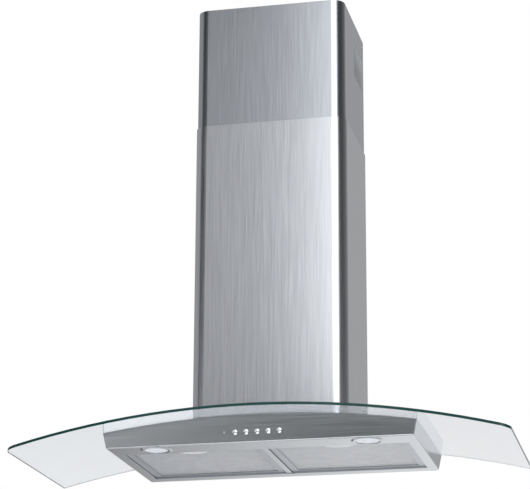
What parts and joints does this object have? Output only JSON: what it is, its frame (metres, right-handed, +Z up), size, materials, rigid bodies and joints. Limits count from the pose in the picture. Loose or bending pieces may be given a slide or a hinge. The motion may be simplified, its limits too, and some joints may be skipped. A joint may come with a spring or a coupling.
{
  "type": "wall range hood",
  "caption": "Wall-mounted range hood: arched glass canopy over a slim steel body with push buttons, grease filters and lamps, under a telescopic square chimney.",
  "frame": {"origin": "middle of the canopy body's lower rear edge, on the wall plane", "axes": "+X to the right seen from the room, +Y into the wall, +Z up"},
  "size_m": [0.9, 0.368, 0.8789],
  "materials": {
    "brushed_steel": "brushed",
    "galvanised_steel": "matt",
    "clear_glass": "polished",
    "lamp_glass": "frosted",
    "rubber": "matt",
    "nylon": "matt",
    "zinc_screws": "zinc plated",
    "aluminium": "satin",
    "chrome": "polished",
    "black_plastic": "matt",
    "motor_paint": "satin",
    "grey_plastic": "matt"
  },
  "bodies": {
    "canopy": {"back_plate": "galvanised_steel", "blower_casing": "galvanised_steel", "canopy_shell": "brushed_steel", "capacitor": "grey_plastic", "capacitor_clip": "zinc_screws", "chimney_guides": "nylon", "filter_divider": "brushed_steel", "flap_spindle": "zinc_screws", "glass_canopy": "clear_glass", "glass_gasket": "rubber", "indicator_lens": "lamp_glass", "lamp_bezel_left": "chrome", "lamp_bezel_right": "chrome", "lamp_bulb_left": "lamp_glass", "lamp_bulb_right": "lamp_glass", "lamp_can_left": "aluminium", "lamp_can_right": "aluminium", "lamp_lens_left": "lamp_glass", "lamp_lens_right": "lamp_glass", "lamp_transformer": "black_plastic", "lower_chimney": "brushed_steel", "motor": "motor_paint", "motor_bracket": "galvanised_steel", "outlet_collar": "black_plastic", "riser": "galvanised_steel", "riser_bolts": "zinc_screws", "riser_gasket": "rubber", "riser_nuts": "zinc_screws", "scroll_cover": "black_plastic", "scroll_housing": "black_plastic", "switch_block": "black_plastic", "terminal_box": "black_plastic", "top_cover": "galvanised_steel"},
    "chimney_top": {"upper_chimney": "brushed_steel", "chimney_bracket": "galvanised_steel", "chimney_screws": "zinc_screws"},
    "filter_left": {"filter_frame_left": "aluminium", "filter_mesh_left": "aluminium", "filter_handle_left": "chrome"},
    "filter_right": {"filter_frame_right": "aluminium", "filter_mesh_right": "aluminium", "filter_handle_right": "chrome"},
    "latch_left": {"filter_latch_left": "black_plastic"},
    "latch_right": {"filter_latch_right": "black_plastic"},
    "fan_wheel": {"impeller": "black_plastic", "motor_shaft": "zinc_screws", "hub_nut": "zinc_screws"},
    "flap_front": {"flap_front": "aluminium"},
    "flap_rear": {"flap_rear": "aluminium"},
    "button_light": {"button_light": "chrome"},
    "button_off": {"button_off": "chrome"},
    "button_speed_1": {"button_speed_1": "chrome"},
    "button_speed_2": {"button_speed_2": "chrome"},
    "button_speed_3": {"button_speed_3": "chrome"}
  },
  "joints": [
    {"name": "chimney_slide", "type": "slide", "parent": "canopy", "child": "chimney_top", "axis": [0, 0, 1], "range_m": [-0.23, 0.2]},
    {"name": "filter_left_hinge", "type": "hinge", "parent": "canopy", "child": "filter_left", "pos_m": [-0.1325, -0.026, 0.003], "axis": [1, 0, 0], "range_deg": [0, 75]},
    {"name": "filter_right_hinge", "type": "hinge", "parent": "canopy", "child": "filter_right", "pos_m": [0.1325, -0.026, 0.003], "axis": [1, 0, 0], "range_deg": [0, 75]},
    {"name": "latch_left_slide", "type": "slide", "parent": "filter_left", "child": "latch_left", "axis": [0, 1, 0], "range_m": [0, 0.006], "stiffness_N_per_m": 400, "springref_m": -0.002},
    {"name": "latch_right_slide", "type": "slide", "parent": "filter_right", "child": "latch_right", "axis": [0, 1, 0], "range_m": [0, 0.006], "stiffness_N_per_m": 400, "springref_m": -0.002},
    {"name": "fan_spin", "type": "hinge", "parent": "canopy", "child": "fan_wheel", "pos_m": [0, -0.085, 0.1548], "axis": [1, 0, 0], "continuous": true},
    {"name": "flap_front_hinge", "type": "hinge", "parent": "canopy", "child": "flap_front", "pos_m": [0, -0.12, 0.3408], "axis": [-1, 0, 0], "range_deg": [0, 80]},
    {"name": "flap_rear_hinge", "type": "hinge", "parent": "canopy", "child": "flap_rear", "pos_m": [0, -0.12, 0.3408], "axis": [1, 0, 0], "range_deg": [0, 80]},
    {"name": "button_light_push", "type": "slide", "parent": "canopy", "child": "button_light", "axis": [0, 0.9925, 0.1219], "range_m": [0, 0.003], "stiffness_N_per_m": 500, "springref_m": -0.001},
    {"name": "button_off_push", "type": "slide", "parent": "canopy", "child": "button_off", "axis": [0, 0.9925, 0.1219], "range_m": [0, 0.003], "stiffness_N_per_m": 500, "springref_m": -0.001},
    {"name": "button_speed_1_push", "type": "slide", "parent": "canopy", "child": "button_speed_1", "axis": [0, 0.9925, 0.1219], "range_m": [0, 0.003], "stiffness_N_per_m": 500, "springref_m": -0.001},
    {"name": "button_speed_2_push", "type": "slide", "parent": "canopy", "child": "button_speed_2", "axis": [0, 0.9925, 0.1219], "range_m": [0, 0.003], "stiffness_N_per_m": 500, "springref_m": -0.001},
    {"name": "button_speed_3_push", "type": "slide", "parent": "canopy", "child": "button_speed_3", "axis": [0, 0.9925, 0.1219], "range_m": [0, 0.003], "stiffness_N_per_m": 500, "springref_m": -0.001}
  ]
}
